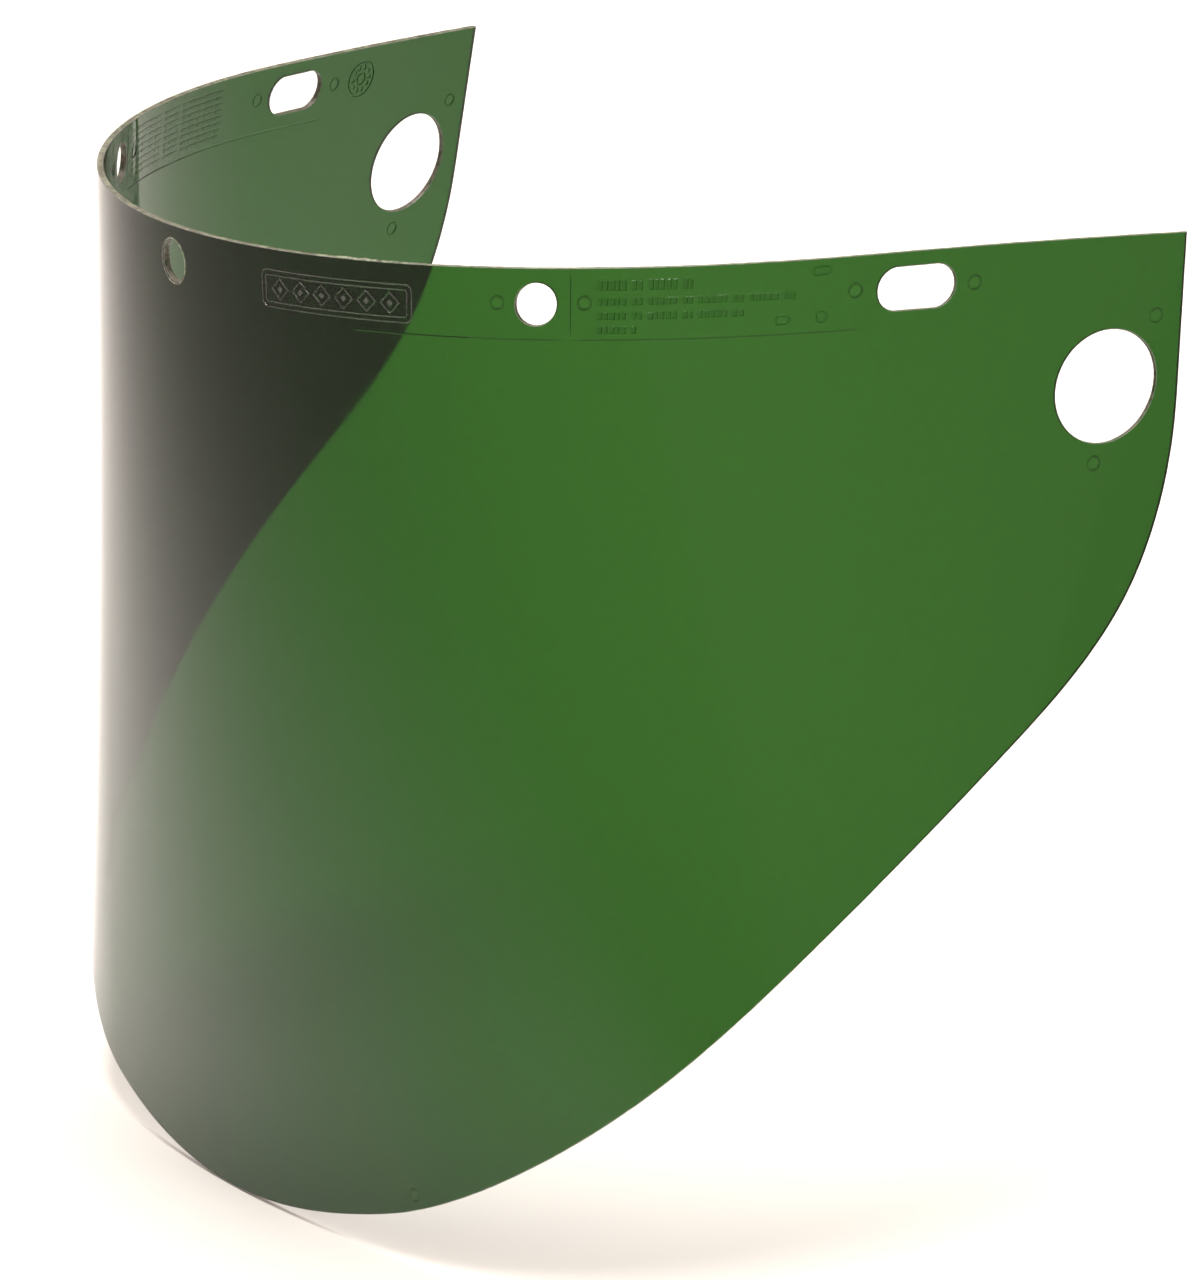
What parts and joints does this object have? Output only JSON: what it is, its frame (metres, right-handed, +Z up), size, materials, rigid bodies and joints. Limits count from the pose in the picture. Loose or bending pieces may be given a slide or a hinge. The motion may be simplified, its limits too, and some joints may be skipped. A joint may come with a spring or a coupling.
{
  "type": "face shield",
  "caption": "Wide wraparound face shield window: a thin tinted see-through sheet bent into a U, with stud holes, slots and pivot holes along its top edge.",
  "frame": {"origin": "centre of the middle mounting hole, on the sheet's outer face", "axes": "-Y is the front, out through the middle of the window; +X is the wearer's left; +Z is up"},
  "size_m": [0.3012, 0.17, 0.219],
  "materials": {
    "tinted_sheet": "polished, transparent, medium green tint through the whole thickness"
  },
  "bodies": {
    "root": {"shield_window": "tinted_sheet"}
  },
  "joints": []
}
